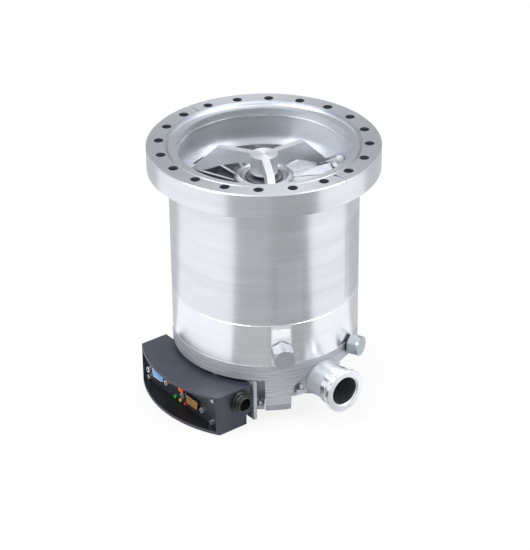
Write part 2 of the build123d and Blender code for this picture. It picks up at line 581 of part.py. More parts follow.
vent_seat = facet_plane()
parts["vent_plug"] = radial(FACET_ANGLE, 0, VENT_Z,
                            hex_plug(vent_seat, VENT_FACE_R, VENT_SHANK_R, 5))
parts["vent_seal"] = radial(FACET_ANGLE, 0, VENT_Z, washer(vent_seat, 8.6, VENT_SHANK_R))
parts["purge_plug"] = radial(PURGE_ANGLE, 0, PURGE_Z,
                             hex_plug(PURGE_SEAT_R, PURGE_FACE_R, PURGE_SHANK_R, 6))
parts["purge_seal"] = make_purge_seal()

parts["bearing_star"] = make_bearing_star()
parts["star_pin"] = radial(PIN_ANGLE, BODY_BORE_R - PIN_R, 0, make_star_pin())
for n, (top, bottom) in enumerate(SPACERS, 1):
    parts[f"spacer_ring_{n}"] = tube(BODY_BORE_R, LEDGE_R, top, bottom)
for n, disc in enumerate(STATOR_DISCS, 1):
    parts[f"stator_disc_{n}"] = make_stator_disc(*disc)
parts["drag_stator"] = make_drag_stator()
parts["magnet_bearing_stator"] = tube(8.4, 5, -29, -47)
parts["motor_stator"] = make_motor_stator()
parts["motor_windings"] = make_windings()

parts["rotor_shaft"] = make_shaft()
for n in range(len(ROTOR_STAGES)):
    parts[f"rotor_stage_{n + 1}"] = make_rotor_stage(n)
parts["balance_ring"] = make_balance_ring()
parts["magnet_bearing_rotor"] = tube(13, 9.2, -31, SHAFT_TOP)
parts["drag_rotor"] = make_drag_rotor()
parts["motor_magnet"] = tube(16, SHAFT_R, -150, -188)
bearing_bottom = BEARING_Z - BEARING_W / 2
parts["bearing_inner_ring"] = race(BALL_PITCH_R - 1.6, BEARING_BORE_R)
parts["bearing_nut"] = tube(6.5, BEARING_BORE_R, bearing_bottom, bearing_bottom - 4)
parts["bearing_outer_ring"] = race(BEARING_R, BALL_PITCH_R + 1.6)
parts["bearing_retainer"] = tube(BEARING_R, 8, bearing_bottom, BASE_BOTTOM)
parts["bearing_cage"] = make_cage()
parts["bearing_balls"] = Compound([place * Sphere(BALL_R) for place in ball_places()])

parts["controller_housing"] = make_controller_housing()
parts["controller_panel"] = make_panel()
parts["earth_screw"] = make_earth_screw()
parts["controller_brackets"] = make_brackets()
parts["circuit_board"] = make_circuit_board()
parts["dsub_blue"] = make_dsub(BLUE, 16.9, 8.3, 6)
parts["dsub_brown"] = make_dsub(BROWN, 19.6, 10.2, 6)
parts["dsub_jackscrews"] = make_jackscrews()
parts["orange_socket"] = make_orange_socket()
parts["orange_insert"] = make_orange_insert()
parts["panel_screws"] = make_panel_screws()
for name, (x, z) in LEDS.items():
    parts[name] = Pos(x, 0, z) * along_y(1.5, PANEL_Y - 1.2, PANEL_Y + 2)
parts["power_connector"] = make_power_connector()

os.makedirs("parts", exist_ok=True)
for name, solid in parts.items():
    export_step(solid, f"parts/{name}.step")
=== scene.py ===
"""Looks of a turbomolecular vacuum pump: turned steel housings, a rough-turned cast base, a bladed
rotor under a three-armed bearing star, and a dark drive controller with its connector panel.
The pump's axis is Z, the fore-vacuum port points to +X and the controller to -Y. Meshes are in
metres; the sizes of made pieces are written in millimetres and times MM."""
import json
import math

import bmesh
import bpy
import numpy as np
from mathutils import Matrix, Vector

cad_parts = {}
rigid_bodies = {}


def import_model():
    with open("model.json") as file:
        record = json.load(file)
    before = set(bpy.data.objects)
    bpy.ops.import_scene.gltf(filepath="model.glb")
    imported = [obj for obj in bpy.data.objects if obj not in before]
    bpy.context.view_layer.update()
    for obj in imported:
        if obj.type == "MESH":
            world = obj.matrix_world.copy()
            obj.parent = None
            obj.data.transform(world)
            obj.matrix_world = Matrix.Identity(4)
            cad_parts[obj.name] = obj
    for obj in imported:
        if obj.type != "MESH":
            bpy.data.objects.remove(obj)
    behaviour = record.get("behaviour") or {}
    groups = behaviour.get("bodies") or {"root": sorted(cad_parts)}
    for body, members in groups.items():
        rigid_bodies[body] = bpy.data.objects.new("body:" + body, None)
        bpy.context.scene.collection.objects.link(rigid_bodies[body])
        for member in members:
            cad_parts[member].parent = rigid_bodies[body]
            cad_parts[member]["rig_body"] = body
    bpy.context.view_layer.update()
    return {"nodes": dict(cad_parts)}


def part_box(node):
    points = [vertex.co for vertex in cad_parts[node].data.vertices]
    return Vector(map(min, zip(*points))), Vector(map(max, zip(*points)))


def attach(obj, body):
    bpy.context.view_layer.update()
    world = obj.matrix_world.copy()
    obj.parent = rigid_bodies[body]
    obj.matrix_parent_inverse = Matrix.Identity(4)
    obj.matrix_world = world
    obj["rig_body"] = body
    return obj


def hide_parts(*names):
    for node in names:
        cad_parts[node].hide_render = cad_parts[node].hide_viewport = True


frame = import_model()

MM = 0.001
BODY = "pump_body"

# ------------------------------------------------------------------ sizes
port_low, port_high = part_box("fore_vacuum_port")
PORT_Z = (port_low.z + port_high.z) / 2
FLOOR_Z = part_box("bottom_cover")[0].z

# millimetres: outer radius of the housings, half width of the milled facet, front of the panel
BODY_R, FACET_HALF, PANEL_Y = 83.0, 8.95, -93.5
FACET_ANGLE = math.radians(-28.0)
FACET_R = math.sqrt(BODY_R ** 2 - FACET_HALF ** 2)
TOWARD_FACET = np.array([math.cos(FACET_ANGLE), math.sin(FACET_ANGLE), 0.0])
SMOOTH_ANGLE = 32.0

# metres: radii and heights that tell apart the faces of a casting or housing that differ in finish
# or carry painted shade
BORE_EDGE, RECESS_FLOOR, BOLT_CIRCLE, BOLT_REACH = 0.0775, -0.005, 0.0905, 0.0046
TURNED_WALL_R, TURNED_WALL_REACH = 0.0824, 0.0011
PORT_BORE_REACH, PORT_BORE_START, PORT_FACE_START = 0.0132, 0.045, 0.1
PAD_TOP, PAD_START, FACET_START, STAR_RIM = -0.2151, 0.0805, 0.08, 0.0702
BAY_FLOOR, BAY_REACH = -0.229, 0.0004

# ------------------------------------------------------------------ materials
# stretch of a pattern: the same all ways, or drawn out round the pump's axis
EVEN, ROUND_THE_AXIS = (1, 1, 1), (1, 1, 300)
SOFT_CLOUDS, FEED_LINES = (1, 1, 12), (0.2, 0.2, 9.0)


class Nodes:
    """Node tree under construction, with the steps that the finishes share. Each step takes the
    outputs of earlier nodes and gives its own."""

    def __init__(self, tree):
        self.tree = tree

    def add(self, kind, **values):
        node = self.tree.nodes.new(kind)
        for key, value in values.items():
            setattr(node, key, value)
        return node

    def link(self, source, target):
        self.tree.links.new(source, target)

    def object_coords(self, scale=EVEN):
        """Object coordinates through a Mapping node with its own scale."""
        mapping = self.add("ShaderNodeMapping")
        mapping.inputs["Scale"].default_value = scale
        self.link(self.add("ShaderNodeTexCoord").outputs["Object"], mapping.inputs["Vector"])
        return mapping.outputs["Vector"]

    def distance_from_axis(self):
        """Length of the object coordinates with their height left out."""
        split, flat = self.add("ShaderNodeSeparateXYZ"), self.add("ShaderNodeCombineXYZ")
        length = self.add("ShaderNodeVectorMath", operation="LENGTH")
        self.link(self.add("ShaderNodeTexCoord").outputs["Object"], split.inputs[0])
        self.link(split.outputs["X"], flat.inputs["X"])
        self.link(split.outputs["Y"], flat.inputs["Y"])
        self.link(flat.outputs[0], length.inputs[0])
        return length.outputs["Value"]

    def noise(self, vector, scale, detail=4.0, rough=0.6):
        node = self.add("ShaderNodeTexNoise")
        node.inputs["Scale"].default_value = scale
        node.inputs["Detail"].default_value = detail
        node.inputs["Roughness"].default_value = rough
        self.link(vector, node.inputs["Vector"])
        return node.outputs["Fac"]

    def tones(self, value, low, high, spread=(0.3, 0.7)):
        """Colour between low and high, by a value."""
        ramp = self.add("ShaderNodeValToRGB")
        for element, position, colour in zip(ramp.color_ramp.elements, spread, (low, high)):
            element.position = position
            element.color = (*colour, 1.0)
        self.link(value, ramp.inputs["Fac"])
        return ramp.outputs["Color"]

    def ranged(self, value, low, high):
        """Value from 0 to 1 turned into one from low to high."""
        node = self.add("ShaderNodeMapRange")
        node.inputs["To Min"].default_value = low
        node.inputs["To Max"].default_value = high
        self.link(value, node.inputs["Value"])
        return node.outputs["Result"]

    def calculated(self, operation, *values):
        """Result of a Math node; each value is an output or a plain number."""
        node = self.add("ShaderNodeMath", operation=operation)
        for socket, value in zip(node.inputs, values):
            if isinstance(value, float):
                socket.default_value = value
            else:
                self.link(value, socket)
        return node.outputs[0]

    def mixed(self, kind, factor, plain, other):
        """Plain where the factor is 0 and other where it is 1, of numbers or of colours."""
        node = self.add("ShaderNodeMix", data_type=kind)
        for socket, source in (("Factor", factor), ("A", plain), ("B", other)):
            self.link(source, node.inputs[socket])
        return node.outputs["Result"]

    def bump(self, shader, height, strength, distance):
        node = self.add("ShaderNodeBump")
        node.inputs["Strength"].default_value = strength
        node.inputs["Distance"].default_value = distance
        self.link(height, node.inputs["Height"])
        self.link(node.outputs["Normal"], shader.inputs["Normal"])


def new_material(name):
    """Material with a Principled shader; gives it, its nodes and the shader."""
    mat = bpy.data.materials.new(name)
    mat.use_nodes = True
    return mat, Nodes(mat.node_tree), mat.node_tree.nodes["Principled BSDF"]


def finish(nodes, shader, colour, roughness, metallic):
    """Links a colour and a roughness to a shader and sets how much of it is metal."""
    nodes.link(colour, shader.inputs["Base Color"])
    nodes.link(roughness, shader.inputs["Roughness"])
    shader.inputs["Metallic"].default_value = metallic


def turned_metal(name, low, high, rough, lines=9.0, strength=0.05, aniso=0.0,
                 along=ROUND_THE_AXIS):
    """Metal turned on a lathe: fine lines round the axis in colour, roughness and relief."""
    mat, nodes, shader = new_material(name)
    fine = nodes.noise(nodes.object_coords(along), lines, 3.0)
    clouds = nodes.noise(nodes.object_coords(SOFT_CLOUDS), 8.0, 3.0)
    mean = nodes.calculated("MULTIPLY", nodes.calculated("ADD", fine, clouds), 0.5)
    finish(nodes, shader, nodes.tones(mean, low, high), nodes.ranged(fine, *rough), 1.0)
    if aniso:
        tangent = nodes.add("ShaderNodeTangent", direction_type="RADIAL", axis="Z")
        nodes.link(tangent.outputs["Tangent"], shader.inputs["Tangent"])
        shader.inputs["Anisotropic"].default_value = aniso
        shader.inputs["Anisotropic Rotation"].default_value = 0.25
    nodes.bump(shader, fine, strength, 0.00005)
    return mat


def cast_metal(name, low, high, rough=(0.42, 0.62), strength=0.25):
    """Blasted casting: fine round grain and soft clouds of tone."""
    mat, nodes, shader = new_material(name)
    vector = nodes.object_coords()
    grains = nodes.noise(vector, 900.0, 3.0)
    clouds = nodes.noise(vector, 35.0, 4.0)
    finish(nodes, shader, nodes.tones(clouds, low, high), nodes.ranged(grains, *rough), 0.85)
    nodes.bump(shader, grains, strength, 0.0001)
    return mat


def rough_turned(name, low, high, plain):
    """Casting whose outer wall is turned with a coarse feed: broken dark and light lines on the
    wall, which its distance from the axis tells, and plain grain and clouds on the rest."""
    mat, nodes, shader = new_material(name)
    on_wall = nodes.calculated("COMPARE", nodes.distance_from_axis(), TURNED_WALL_R,
                               TURNED_WALL_REACH)
    lines = nodes.noise(nodes.object_coords(FEED_LINES), 130.0, 5.0, 0.65)
    grains = nodes.noise(nodes.object_coords(), 700.0, 3.0)
    clouds = nodes.noise(nodes.object_coords(), 40.0, 4.0)
    relief = nodes.mixed("FLOAT", on_wall, grains, lines)
    tone = nodes.mixed("FLOAT", on_wall, clouds, lines)
    turned = nodes.tones(tone, low, high, (0.36, 0.62))
    cast = nodes.tones(clouds, plain, tuple(min(1.0, c + 0.06) for c in plain))
    finish(nodes, shader, nodes.mixed("RGBA", on_wall, cast, turned),
           nodes.ranged(relief, 0.34, 0.6), 0.6)
    nodes.bump(shader, relief, 0.4, 0.0002)
    return mat


def plastic(name, colour, rough=0.45, strength=0.1, lighter=1.25, metallic=0.0):
    """Moulded plastic, paint or plating: fine grain and a slight drift of tone."""
    mat, nodes, shader = new_material(name)
    vector = nodes.object_coords()
    clouds = nodes.noise(vector, 30.0, 3.0)
    grains = nodes.noise(vector, 1500.0, 2.0)
    high = tuple(min(1.0, c * lighter + 0.004) for c in colour)
    finish(nodes, shader, nodes.tones(clouds, colour, high),
           nodes.ranged(grains, rough * 0.85, rough * 1.15), metallic)
    nodes.bump(shader, grains, strength, 0.00004)
    return mat


# turned and milled metal
STEEL = turned_metal("turned_steel", (0.66, 0.69, 0.73), (0.82, 0.85, 0.89), (0.24, 0.34), aniso=0.6)
BAND = turned_metal("polished_steel", (0.78, 0.80, 0.84), (0.88, 0.90, 0.93), (0.22, 0.30),
                    strength=0.03, aniso=0.6)
# rougher bored finish, with a darker colour that is painted shade inside the bore and on the star's
# rim
SHADED_BORE_STEEL = turned_metal("bored_steel_painted_shade", (0.58, 0.61, 0.65), (0.72, 0.75, 0.79), (0.34, 0.44), aniso=0.5)
# faced finish with fine lines; its colour, darker than the turned wall, is painted shade on the
# upward faces
SHADED_FACE_STEEL = turned_metal("faced_steel_painted_shade", (0.50, 0.53, 0.57), (0.62, 0.65, 0.69), (0.30, 0.38), aniso=0.6,
                    lines=900.0, along=EVEN)
FACET = turned_metal("milled_steel", (0.88, 0.90, 0.93), (0.94, 0.96, 0.98), (0.48, 0.56),
                     lines=900.0, along=EVEN)
STAR_FACE = turned_metal("star_faced", (0.78, 0.81, 0.86), (0.86, 0.89, 0.93), (0.30, 0.38),
                         aniso=0.6, lines=900.0, along=EVEN)
BLADE = turned_metal("milled_blades", (0.42, 0.44, 0.47), (0.54, 0.56, 0.59), (0.30, 0.40),
                     lines=500.0, strength=0.02, along=EVEN)
SATIN = turned_metal("satin_alloy", (0.88, 0.90, 0.94), (0.94, 0.95, 0.98), (0.42, 0.50),
                     lines=900.0, strength=0.02, along=EVEN)
BRIGHT = turned_metal("bright_alloy", (0.84, 0.86, 0.89), (0.92, 0.93, 0.95), (0.14, 0.24),
                      lines=900.0, strength=0.03, along=EVEN)
FILM = turned_metal("clear_film", (0.72, 0.75, 0.79), (0.82, 0.85, 0.89), (0.30, 0.36), aniso=0.6)
FOIL = turned_metal("label_foil", (0.62, 0.65, 0.70), (0.70, 0.73, 0.78), (0.30, 0.36), lines=30.0)

# castings
CAST = rough_turned("rough_turned_casting", (0.32, 0.34, 0.37), (0.56, 0.59, 0.63),
                    (0.54, 0.57, 0.61))
PAD = cast_metal("sawn_pad", (0.30, 0.32, 0.35), (0.40, 0.42, 0.45), strength=0.2)
STAR = cast_metal("star_casting", (0.66, 0.68, 0.71), (0.80, 0.82, 0.85), (0.38, 0.50), 0.08)
# painted shade: dark alloy for the port's bore and for the balance ring in the rotor's hub
PAINTED_SHADE_ALLOY = cast_metal("shaded_alloy", (0.16, 0.17, 0.19), (0.24, 0.25, 0.27), strength=0.05)
DEEP = cast_metal("deep_alloy", (0.34, 0.36, 0.38), (0.44, 0.46, 0.49), strength=0.05)
BRACKET = cast_metal("bracket_alloy", (0.46, 0.49, 0.53), (0.56, 0.59, 0.63), strength=0.1)

# plated and small metal parts
# painted shade: dark steel on the walls of the bolt holes, standing in for the shade inside them
HOLE_SHADE_STEEL = plastic("hole_painted_shade", (0.30, 0.32, 0.35), 0.4, metallic=1.0)
ZINC = plastic("plug_zinc", (0.36, 0.39, 0.42), 0.36, metallic=0.9, lighter=1.2)
DARK_STEEL = plastic("dark_steel", (0.20, 0.21, 0.23), 0.35, metallic=1.0)
SCREW = plastic("screw_steel", (0.50, 0.52, 0.55), 0.30, metallic=1.0)
PLUG = plastic("plug_nickel", (0.60, 0.63, 0.67), 0.30, metallic=1.0, lighter=1.15)
RIM = plastic("connector_rim", (0.62, 0.66, 0.72), 0.35, metallic=0.8)
HOOD = plastic("connector_hood", (0.10, 0.11, 0.13), 0.30, metallic=0.8)
NUT = plastic("nut_steel", (0.72, 0.74, 0.78), 0.30, metallic=0.9)
COPPER = plastic("winding_copper", (0.55, 0.22, 0.10), 0.35, metallic=1.0)

# paint, plastic, rubber and labels
PAINT = plastic("controller_paint", (0.030, 0.037, 0.053), 0.42, strength=0.12)
PANEL = plastic("panel_black", (0.016, 0.019, 0.027), 0.32)
BAY = plastic("bay_black", (0.002, 0.003, 0.004), 0.42, lighter=1.0, strength=0.02)
BLACK = plastic("black_plastic", (0.010, 0.010, 0.012), 0.30)
RUBBER = plastic("rubber_black", (0.015, 0.015, 0.015), 0.6)
BLUE = plastic("connector_blue", (0.16, 0.36, 0.74), 0.40)
BROWN = plastic("connector_brown", (0.48, 0.22, 0.05), 0.40)
ORANGE = plastic("insert_orange", (0.85, 0.13, 0.03), 0.40)
WHITE = plastic("pin_white", (0.56, 0.58, 0.61), 0.40, lighter=1.05)
LABEL = plastic("label_white", (0.86, 0.87, 0.88), 0.5, lighter=1.03)
BOARD = plastic("board_green", (0.02, 0.12, 0.05), 0.45)
CAGE_PLASTIC = plastic("cage_resin", (0.40, 0.28, 0.14), 0.5)
GREEN_LED = plastic("led_green", (0.02, 0.55, 0.08), 0.2)
YELLOW_LED = plastic("led_yellow", (0.80, 0.55, 0.03), 0.2)
RED_LED = plastic("led_red", (0.75, 0.03, 0.03), 0.2)

# ------------------------------------------------------------------ meshes


def in_scene(name, data):
    """New object with a mesh, lamp or camera, in the scene."""
    obj = bpy.data.objects.new(name, data)
    bpy.context.scene.collection.objects.link(obj)
    return obj


def merge(data, distance, outward=False):
    """Merges a mesh's doubles, and turns its normals outwards where asked."""
    work = bmesh.new()
    work.from_mesh(data)
    bmesh.ops.remove_doubles(work, verts=work.verts, dist=distance)
    if outward:
        bmesh.ops.recalc_face_normals(work, faces=work.faces)
    work.to_mesh(data)
    work.free()


def finish_piece(obj, material, body, angle=SMOOTH_ANGLE):
    """Smooths a piece by angle, gives it its material and lets it ride on its body."""
    obj.data.shade_smooth()
    obj.data.set_sharp_from_angle(angle=math.radians(angle))
    obj.data.materials.clear()
    obj.data.materials.append(material)
    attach(obj, body)
    return obj


def mesh_piece(name, shell, material, angle=SMOOTH_ANGLE):
    """Piece on the pump's body from a shell: an array of points and a list of faces."""
    verts, faces = shell
    data = bpy.data.meshes.new(name)
    data.from_pydata(verts.tolist(), [], [list(map(int, face)) for face in faces])
    merge(data, 1e-7, outward=True)
    return finish_piece(in_scene(name, data), material, BODY, angle)


def dressed(node, material):
    """Merged, smoothly shaded copy of a CAD node, in place of the node."""
    source = frame["nodes"][node]
    data = source.data.copy()
    if "custom_normal" in data.attributes:
        data.attributes.remove(data.attributes["custom_normal"])
    merge(data, 2e-6)
    obj = finish_piece(in_scene(node + "_skin", data), material, source["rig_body"])
    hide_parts(node)
    return obj


def round_edges(obj, width):
    """Rounds the edges that are sharper than the smoothing angle."""
    edge = obj.modifiers.new("rounded", "BEVEL")
    edge.width = width
    edge.segments = 2
    edge.limit_method = "ANGLE"
    edge.angle_limit = math.radians(SMOOTH_ANGLE)
    edge.use_clamp_overlap = True
    edge.harden_normals = True


def paint_faces(obj, *rules):
    """Gives each face the material of the last rule whose test holds; a test takes the arrays of
    face centres and normals, in metres, and gives true or false for each face."""
    data = obj.data
    count = len(data.polygons)
    centre, normal = np.empty(count * 3), np.empty(count * 3)
    data.polygons.foreach_get("center", centre)
    data.polygons.foreach_get("normal", normal)
    centre, normal = centre.reshape(-1, 3), normal.reshape(-1, 3)
    index = np.zeros(count, np.int32)
    for number, (material, test) in enumerate(rules, 1):
        data.materials.append(material)
        index[test(centre, normal)] = number
    data.polygons.foreach_set("material_index", index)


def from_axis(points):
    """Distance of each point from the pump's axis."""
    return np.hypot(points[:, 0], points[:, 1])


def port_bore(centre, normal):
    """True for the faces round the fore-vacuum port's bore, which are darkened as painted shade."""
    near = np.hypot(centre[:, 1], centre[:, 2] - PORT_Z) < PORT_BORE_REACH
    return near & (centre[:, 0] > PORT_BORE_START) & (abs(normal[:, 0]) < 0.5)


# ------------------------------------------------------------------ CAD nodes that show
# the balance ring takes the dark alloy as painted shade
LOOKS = {
    "inlet_housing": STEEL, "lower_housing": BAND, "base_casting": CAST, "bottom_cover": CAST,
    "bearing_star": STAR, "rotor_stage_1": BLADE, "balance_ring": PAINTED_SHADE_ALLOY, "star_pin": WHITE,
    "vent_plug": PLUG, "purge_plug": ZINC, "housing_screws": SCREW, "earth_screw": SCREW,
    "cover_screws": SCREW, "controller_housing": PAINT, "controller_panel": PANEL,
    "controller_brackets": BRACKET, "panel_screws": SCREW, "led_green": GREEN_LED,
    "led_yellow": YELLOW_LED, "led_red": RED_LED,
}
skins = {node: dressed(node, material) for node, material in LOOKS.items()}
round_edges(skins["controller_housing"], 0.6 * MM)

# bore, upper faces and bolt holes of the inlet housing; the darker colours of the bore walls, the
# upper faces and the bolt holes are painted shade
paint_faces(
    skins["inlet_housing"],
    (SHADED_BORE_STEEL, lambda c, n: (from_axis(c) < BORE_EDGE) & (abs(n[:, 2]) < 0.5)),
    (SHADED_FACE_STEEL, lambda c, n: (n[:, 2] > 0.6) & (c[:, 2] > RECESS_FLOOR)),
    (HOLE_SHADE_STEEL, lambda c, n: (abs(from_axis(c) - BOLT_CIRCLE) < BOLT_REACH) & (abs(n[:, 2]) < 0.2)))
# flat facet of the polished ring
paint_faces(
    skins["lower_housing"],
    (FACET, lambda c, n: (n @ TOWARD_FACET > 0.9999) & (c @ TOWARD_FACET > FACET_START)))
# sawn pads of the legs, and the port's bore darkened as painted shade
paint_faces(
    skins["base_casting"],
    (PAD, lambda c, n: (c[:, 2] < PAD_TOP) & (from_axis(c) > PAD_START)),
    (PAINTED_SHADE_ALLOY, port_bore))
# turned top of the star, and its rim in the darker bore steel as painted shade
paint_faces(
    skins["bearing_star"],
    (STAR_FACE, lambda c, n: n[:, 2] > 0.3),
    (SHADED_BORE_STEEL, lambda c, n: (from_axis(c) > STAR_RIM) & (abs(n[:, 2]) < 0.3)))
# floor of the connector bay
paint_faces(
    skins["controller_housing"],
    (BAY, lambda c, n: (abs(c[:, 2] - BAY_FLOOR) < BAY_REACH) & (n[:, 2] > 0.9)))

# ------------------------------------------------------------------ shells
# A shell is an array of points in metres and a list of faces. The functions take millimetres.


def turned_about_z(points, angle):
    """Points turned round the pump's axis: the angle's cosine and sine mix x and y."""
    c, s = math.cos(angle), math.sin(angle)
    return points @ np.array([[c, s, 0], [-s, c, 0], [0, 0, 1]])


def grid_faces(rows, columns, wrap_rows=True):
    """Quads between neighbours on a grid of points whose columns close on themselves, and whose
    rows do where asked."""
    i = np.arange(rows if wrap_rows else rows - 1)
    i, j = (a.ravel() for a in np.meshgrid(i, np.arange(columns), indexing="ij"))
    ni, nj = (i + 1) % rows, (j + 1) % columns
    return np.stack([i * columns + j, ni * columns + j, ni * columns + nj, i * columns + nj], 1)


def lathe(profile, steps, axis="Z", centre=(0, 0, 0)):
    """Closed profile of (radius, height) points swept once round an axis through the centre: each
    point is the radius times the angle's cosine and sine across the axis, and the height along
    it."""
    profile = np.asarray(profile, float) * MM
    turn = np.arange(steps) / steps * 2 * np.pi
    radius = np.broadcast_to(profile[None, :, 0], (steps, len(profile)))
    height = np.broadcast_to(profile[None, :, 1], (steps, len(profile)))
    across, up = radius * np.cos(turn)[:, None], radius * np.sin(turn)[:, None]
    order = [height, across, up] if axis == "X" else [across, up, height]
    verts = np.stack(order, -1).reshape(-1, 3) + np.asarray(centre) * MM
    return verts, grid_faces(steps, len(profile))


def ring_sector(profile, angles, steps):
    """Closed (radius, height) polygon swept between two angles round the pump: each point is the
    radius times the angle's cosine and sine, at the polygon's height, and both ends are capped."""
    turn = np.radians(np.linspace(*angles, steps))
    profile = np.asarray(profile, float)
    m = len(profile)
    verts = np.stack([np.outer(np.cos(turn), profile[:, 0]), np.outer(np.sin(turn), profile[:, 0]),
                      np.tile(profile[:, 1], (steps, 1))], -1).reshape(-1, 3) * MM
    faces = grid_faces(steps, m, wrap_rows=False).tolist()
    return verts, faces + [list(range(m)), list(range((steps - 1) * m, steps * m))]


def label_on_wall(angles, heights, thick):
    """Thin plate on the housing's round wall: a rectangle of the thickness by the heights, swept
    between two angles."""
    (low, high), outer = heights, BODY_R + thick
    return ring_sector(((BODY_R, low), (outer, low), (outer, high), (BODY_R, high)), angles, 24)


def stacked_loops(loops):
    """Points of several (x, z) outlines, each at its own y, loop after loop."""
    return np.concatenate([np.stack([loop[:, 0], np.full(len(loop), y), loop[:, 1]], 1)
                           for loop, y in loops]) * MM


def prism(outline, y0, y1):
    """An (x, z) outline drawn out straight from y0 to y1, with both ends capped."""
    outline = np.asarray(outline, float)
    m = len(outline)
    faces = grid_faces(2, m, wrap_rows=False).tolist()
    return (stacked_loops(((outline, y0), (outline, y1))),
            faces + [list(range(m)), list(range(m, 2 * m))])


def frame_prism(outer, inner, y0, y1, floor_y):
    """Ring between two outlines with as many points: it rises from y0 to y1 on the outside, falls
    to floor_y inside, and goes back to y0, closed all round."""
    loops = ((outer, y0), (outer, y1), (inner, y1), (inner, floor_y), (inner, y0))
    return stacked_loops(loops), grid_faces(len(loops), len(outer)).tolist()


def rectangle(left, right, low, high):
    return ((left, high), (right, high), (right, low), (left, low))


def circle(x, z, radius, steps=16):
    """Points at equal angles: the middle plus the radius times the cosine and sine."""
    turn = np.arange(steps) / steps * 2 * np.pi
    return np.stack([x + radius * np.cos(turn), z + radius * np.sin(turn)], 1)


def round_trapezoid(x, z, width, height, slope, radius, steps=5):
    """Outline of a connector, its lower side shorter by the slope at each end: four quarter
    circles, each its middle plus the radius times the cosine and sine of the angle."""
    w, h = width / 2, height / 2
    corner = np.array([(w, h), (-w, h), (slope - w, -h), (w - slope, -h)])
    middle = corner - np.copysign(radius, corner) + (x, z)
    turn = np.radians(np.linspace(0, 90, steps) + 90 * np.arange(4)[:, None])
    arc = radius * np.stack([np.cos(turn), np.sin(turn)], -1)
    return (middle[:, None] + arc).reshape(-1, 2)


def joined(*shells):
    """Several shells as one."""
    verts, faces, start = [], [], 0
    for v, f in shells:
        verts.append(v)
        faces.extend([corner + start for corner in face] for face in f)
        start += len(v)
    return np.concatenate(verts), faces


# ------------------------------------------------------------------ made pieces of the housings

# fore-vacuum port: collar, groove, flange and counterbore with its taper, turned about the port's
# axis; (radius, distance along the port)
PORT_PROFILE = (
    (13.0, 99.0), (13.0, 111.6), (14.3, 111.6), (14.3, 113.0), (19.4, 113.0), (20.0, 112.4),
    (20.0, 110.4), (15.0, 109.0), (15.0, 106.4), (16.6, 106.4), (17.0, 106.0),
    (17.0, 104.6), (17.8, 104.6), (17.8, 99.6), (17.2, 99.0))
port = mesh_piece("fore_vacuum_port_skin", lathe(PORT_PROFILE, 160, "X", (0, 0, PORT_Z / MM)),
                  BRIGHT, 25.0)
# the port's bore is darkened as painted shade
paint_faces(port, (SATIN, lambda c, n: (n[:, 0] > 0.9) & (c[:, 0] > PORT_FACE_START)),
            (PAINTED_SHADE_ALLOY, port_bore))
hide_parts("fore_vacuum_port")

# thin lip under the inlet's throat, turned about the pump's axis
mesh_piece("throat_lip", lathe(((74.4, -9.2), (77.0, -9.0), (77.0, -10.1), (74.6, -10.1),
                                (74.4, -9.9)), 256), BRIGHT)

# bare labels: two on the round wall, and a flat plate turned to lie on the facet
mesh_piece("side_label", label_on_wall((19.0, 41.0), (-129.5, -56.8), 0.10), FOIL)
mesh_piece("front_film", label_on_wall((-29.9, -15.3), (-130.5, -74.0), 0.05), FILM)
plate, plate_faces = prism(rectangle(-7.6, 7.6, -147.4, -139.0), FACET_R - 0.02, FACET_R + 0.12)
mesh_piece("vent_label", (turned_about_z(plate, FACET_ANGLE - math.pi / 2), plate_faces), LABEL)

# lug, its screw and the sloping skirt beside the neck of the port
mesh_piece("neck_lug", ring_sector(((67.0, -209.5), (79.0, -209.5), (79.5, -209.0), (79.5, -206.0),
                                    (79.0, -205.5), (67.0, -205.5)), (-18.0, -10.5), 16), CAST)
SCREW_ANGLE, SCREW_R = math.radians(-13.6), 75.8
mesh_piece("neck_screw", lathe(
    ((0.0, -205.4), (2.9, -205.4), (2.9, -200.9), (2.5, -200.5), (1.5, -200.5), (1.5, -202.5),
     (0.0, -202.5)), 48,
    centre=(SCREW_R * math.cos(SCREW_ANGLE), SCREW_R * math.sin(SCREW_ANGLE), 0)), SCREW)
mesh_piece("neck_skirt", ring_sector(((67.0, -189.0), (82.0, -189.0), (82.0, -190.0),
                                      (67.0, -202.0)), (-17.0, 12.0), 24), CAST)

# ------------------------------------------------------------------ made pieces of the controller


def connector(name, place, size, depth, shell_material, insert_material, rows, hole_r):
    """Sub-miniature connector: a rim between two rounded trapezoids, the insert as a prism of the
    inner one, and its rows of contact holes as black discs of painted shade. A row is its number of
    holes, its height over the middle and its pitch."""
    (x, z), (width, height) = place, size
    wall, front = 0.7, PANEL_Y - depth
    outer = round_trapezoid(x, z, width, height, 1.2, 1.6)
    inner = round_trapezoid(x, z, width - 2 * wall, height - 2 * wall, 1.1, 1.0)
    mesh_piece(name + "_shell", frame_prism(outer, inner, PANEL_Y + 0.2, front, front + 0.5),
               shell_material)
    fill = round_trapezoid(x, z, width - 2 * wall + 0.1, height - 2 * wall + 0.1, 1.1, 1.0)
    insert = mesh_piece(name + "_insert", prism(fill, PANEL_Y + 0.1, front + 0.3), insert_material)
    # black discs just proud of the insert: painted shade in the contact holes
    holes = [prism(circle(x + (k - (count - 1) / 2) * pitch, z + lift, hole_r, 12),
                   front + 0.5, front + 0.22)
             for count, lift, pitch in rows for k in range(count)]
    mesh_piece(name + "_hole_shade", joined(*holes), BLACK)
    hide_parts(name)


connector("dsub_blue", (-35.8, -216.8), (17.0, 8.6), 1.5, RIM, BLUE,
          ((5, 2.2, 2.5), (5, 0.0, 2.5), (5, -2.2, 2.5)), 0.42)
connector("dsub_brown", (16.8, -218.8), (18.6, 9.4), 2.2, HOOD, BROWN,
          ((5, 1.7, 2.9), (4, -1.7, 2.9)), 0.85)

